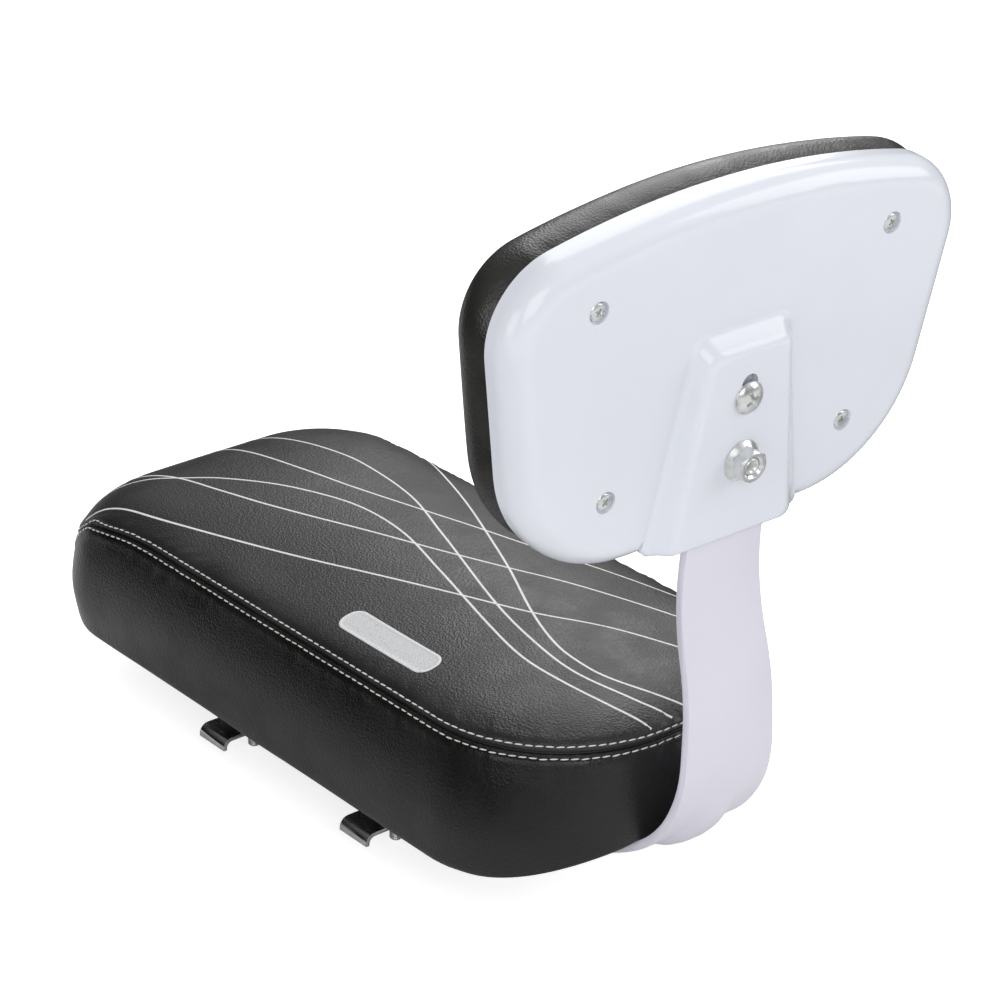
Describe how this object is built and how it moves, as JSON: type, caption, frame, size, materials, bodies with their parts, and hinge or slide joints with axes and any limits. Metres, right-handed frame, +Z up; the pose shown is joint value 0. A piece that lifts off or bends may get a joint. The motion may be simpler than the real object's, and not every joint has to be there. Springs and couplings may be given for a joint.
{
  "type": "rear rack seat",
  "caption": "Padded bicycle rear rack seat: long stitched cushion on a board, bent strap rising to a small padded backrest with a moulded shell, and clamp plates that grip the rack.",
  "frame": {"origin": "on the rack plane under the middle of the seat board, on the object's plane of symmetry", "axes": "+Y forward along the cushion, +Z up, +X to the rider's right; the backrest stands at -Y"},
  "size_m": [0.237, 0.4082, 0.3448],
  "materials": {
    "board": "raw plywood",
    "foam": "open-cell foam",
    "top_leather": "grained leatherette",
    "band_leather": "grained leatherette",
    "pad_leather": "grained leatherette",
    "strap_paint": "satin powder coat",
    "zinc": "bright zinc plate",
    "clamp_zinc": "bright zinc plate",
    "shell_plastic": "gloss moulded"
  },
  "bodies": {
    "root": {"seat_base_board": "board", "seat_foam": "foam", "seat_top_panel": "top_leather", "seat_side_band": "band_leather", "support_strap": "strap_paint", "strap_bolts": "zinc", "strap_washers": "zinc", "strap_nuts": "zinc", "front_clamp_plate": "clamp_zinc", "rear_clamp_plate": "clamp_zinc", "clamp_bolts": "zinc", "clamp_washers": "zinc", "clamp_nuts": "zinc", "backrest_shell": "shell_plastic", "backrest_board": "board", "backrest_foam": "foam", "backrest_cover": "pad_leather", "shell_screws": "zinc", "upper_screw": "zinc", "upper_tee_nut": "zinc", "lower_bolt": "zinc", "lower_flange_nut": "zinc"}
  },
  "joints": []
}
